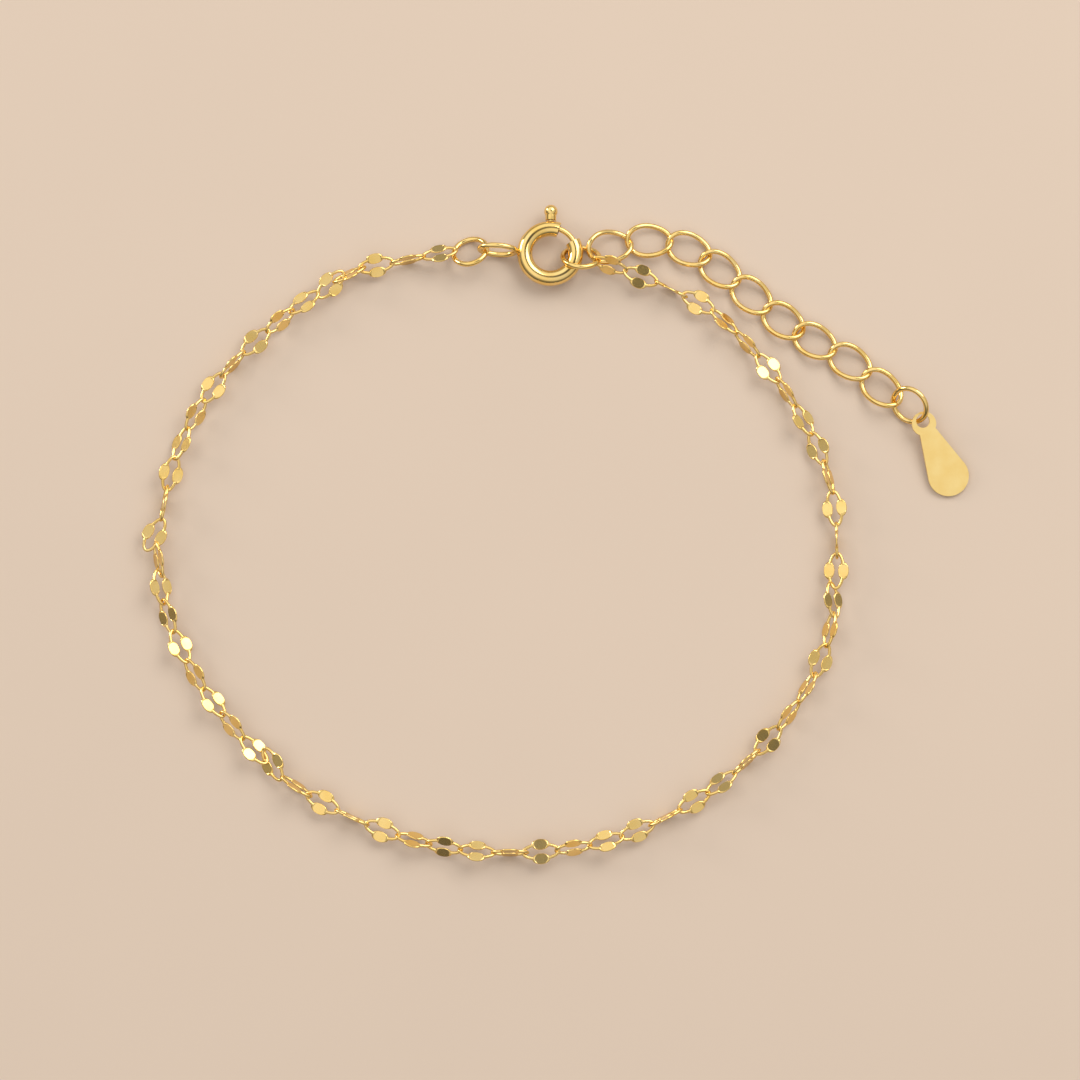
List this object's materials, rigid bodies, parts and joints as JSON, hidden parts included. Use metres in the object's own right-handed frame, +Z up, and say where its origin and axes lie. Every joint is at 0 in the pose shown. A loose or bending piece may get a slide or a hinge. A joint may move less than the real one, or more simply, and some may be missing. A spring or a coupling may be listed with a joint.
{
  "type": "chain bracelet",
  "caption": "Fine gold chain bracelet of small beaten links, closed by a spring-ring clasp, with a curb-link extender that ends in a flat drop-shaped tag; lies in a loop.",
  "frame": {"origin": "middle of the outline of the bracelet as it lies, on the surface under it", "axes": "+X along the longest extent, from the clasp's side to the tag's; +Y from the loop's middle towards the clasp; +Z up from the surface"},
  "size_m": [0.0628, 0.0506, 0.0025],
  "materials": {
    "polished_gold": "polished",
    "satin_gold": "satin"
  },
  "bodies": {
    "bracelet": {"clasp_ring": "polished_gold", "clasp_jump_ring": "polished_gold", "chain_stretch_01": "polished_gold", "chain_stretch_02": "polished_gold", "chain_stretch_03": "polished_gold", "chain_stretch_04": "polished_gold", "chain_stretch_05": "polished_gold", "chain_stretch_06": "polished_gold", "chain_stretch_07": "polished_gold", "chain_stretch_08": "polished_gold", "chain_stretch_09": "polished_gold", "chain_stretch_10": "polished_gold", "chain_stretch_11": "polished_gold", "chain_stretch_12": "polished_gold", "chain_stretch_13": "polished_gold", "chain_stretch_14": "polished_gold", "chain_stretch_15": "polished_gold", "chain_stretch_16": "polished_gold", "chain_stretch_17": "polished_gold", "end_jump_ring": "polished_gold", "extender_stretch_01": "polished_gold", "extender_stretch_02": "polished_gold", "extender_stretch_03": "polished_gold", "extender_end_ring": "polished_gold", "tag": "satin_gold"},
    "trigger": {"clasp_trigger": "polished_gold"}
  },
  "joints": [
    {"name": "trigger_slide", "type": "hinge", "parent": "bracelet", "child": "trigger", "pos_m": [-0.00043, 0.02147, 0.00115], "axis": [0, 0, 1], "range_deg": [0, 48], "stiffness_Nm_per_rad": 0.002}
  ]
}
